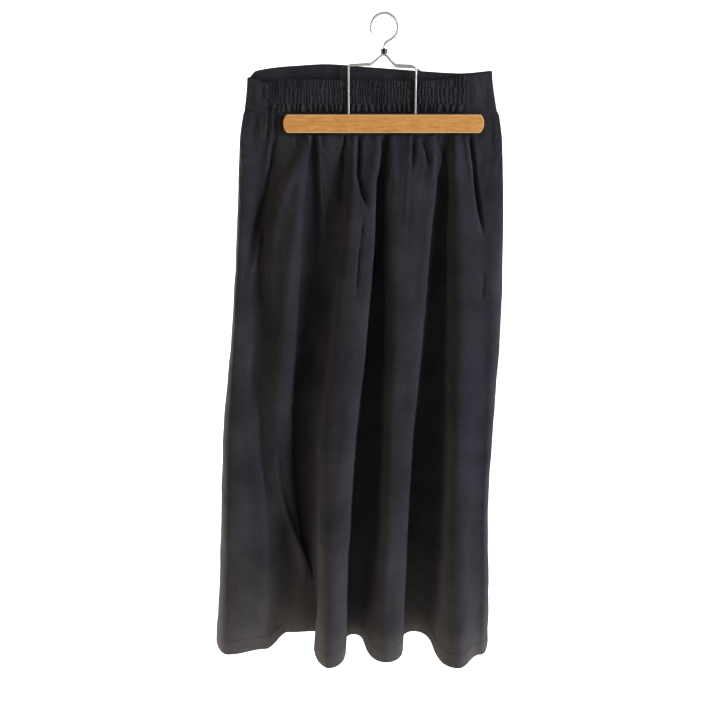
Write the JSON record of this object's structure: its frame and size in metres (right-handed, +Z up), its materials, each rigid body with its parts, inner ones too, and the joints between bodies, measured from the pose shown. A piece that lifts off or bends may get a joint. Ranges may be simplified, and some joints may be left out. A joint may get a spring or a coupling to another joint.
{
  "type": "maxi skirt on a wooden clamp hanger",
  "caption": "Long gathered skirt with an elasticated back waistband, hung by a wooden two-bar clamp hanger with bent wire frames and a hook.",
  "frame": {"origin": "the point inside the top of the hanger's hook that rests on a rail", "axes": "+Z up; +X to the right of somebody who faces the gathered back panel; -Y is the side of that panel"},
  "size_m": [0.5062, 0.186, 1.107],
  "materials": {
    "linen": "plain-weave linen, matt, near-black charcoal with a blue cast",
    "beech": "golden beech under clear satin lacquer, fine grain along the bar",
    "wire": "nickel-plated steel wire, light grey, softly shining"
  },
  "bodies": {
    "root": {"back_panel": "linen", "front_panel": "linen", "waistband_back_elastic": "linen", "waistband_front": "linen", "hanger_bar_near": "beech", "hanger_bar_far": "beech", "wire_frame_near": "wire", "wire_frame_far": "wire", "hook": "wire", "ferrule": "wire"}
  },
  "joints": []
}
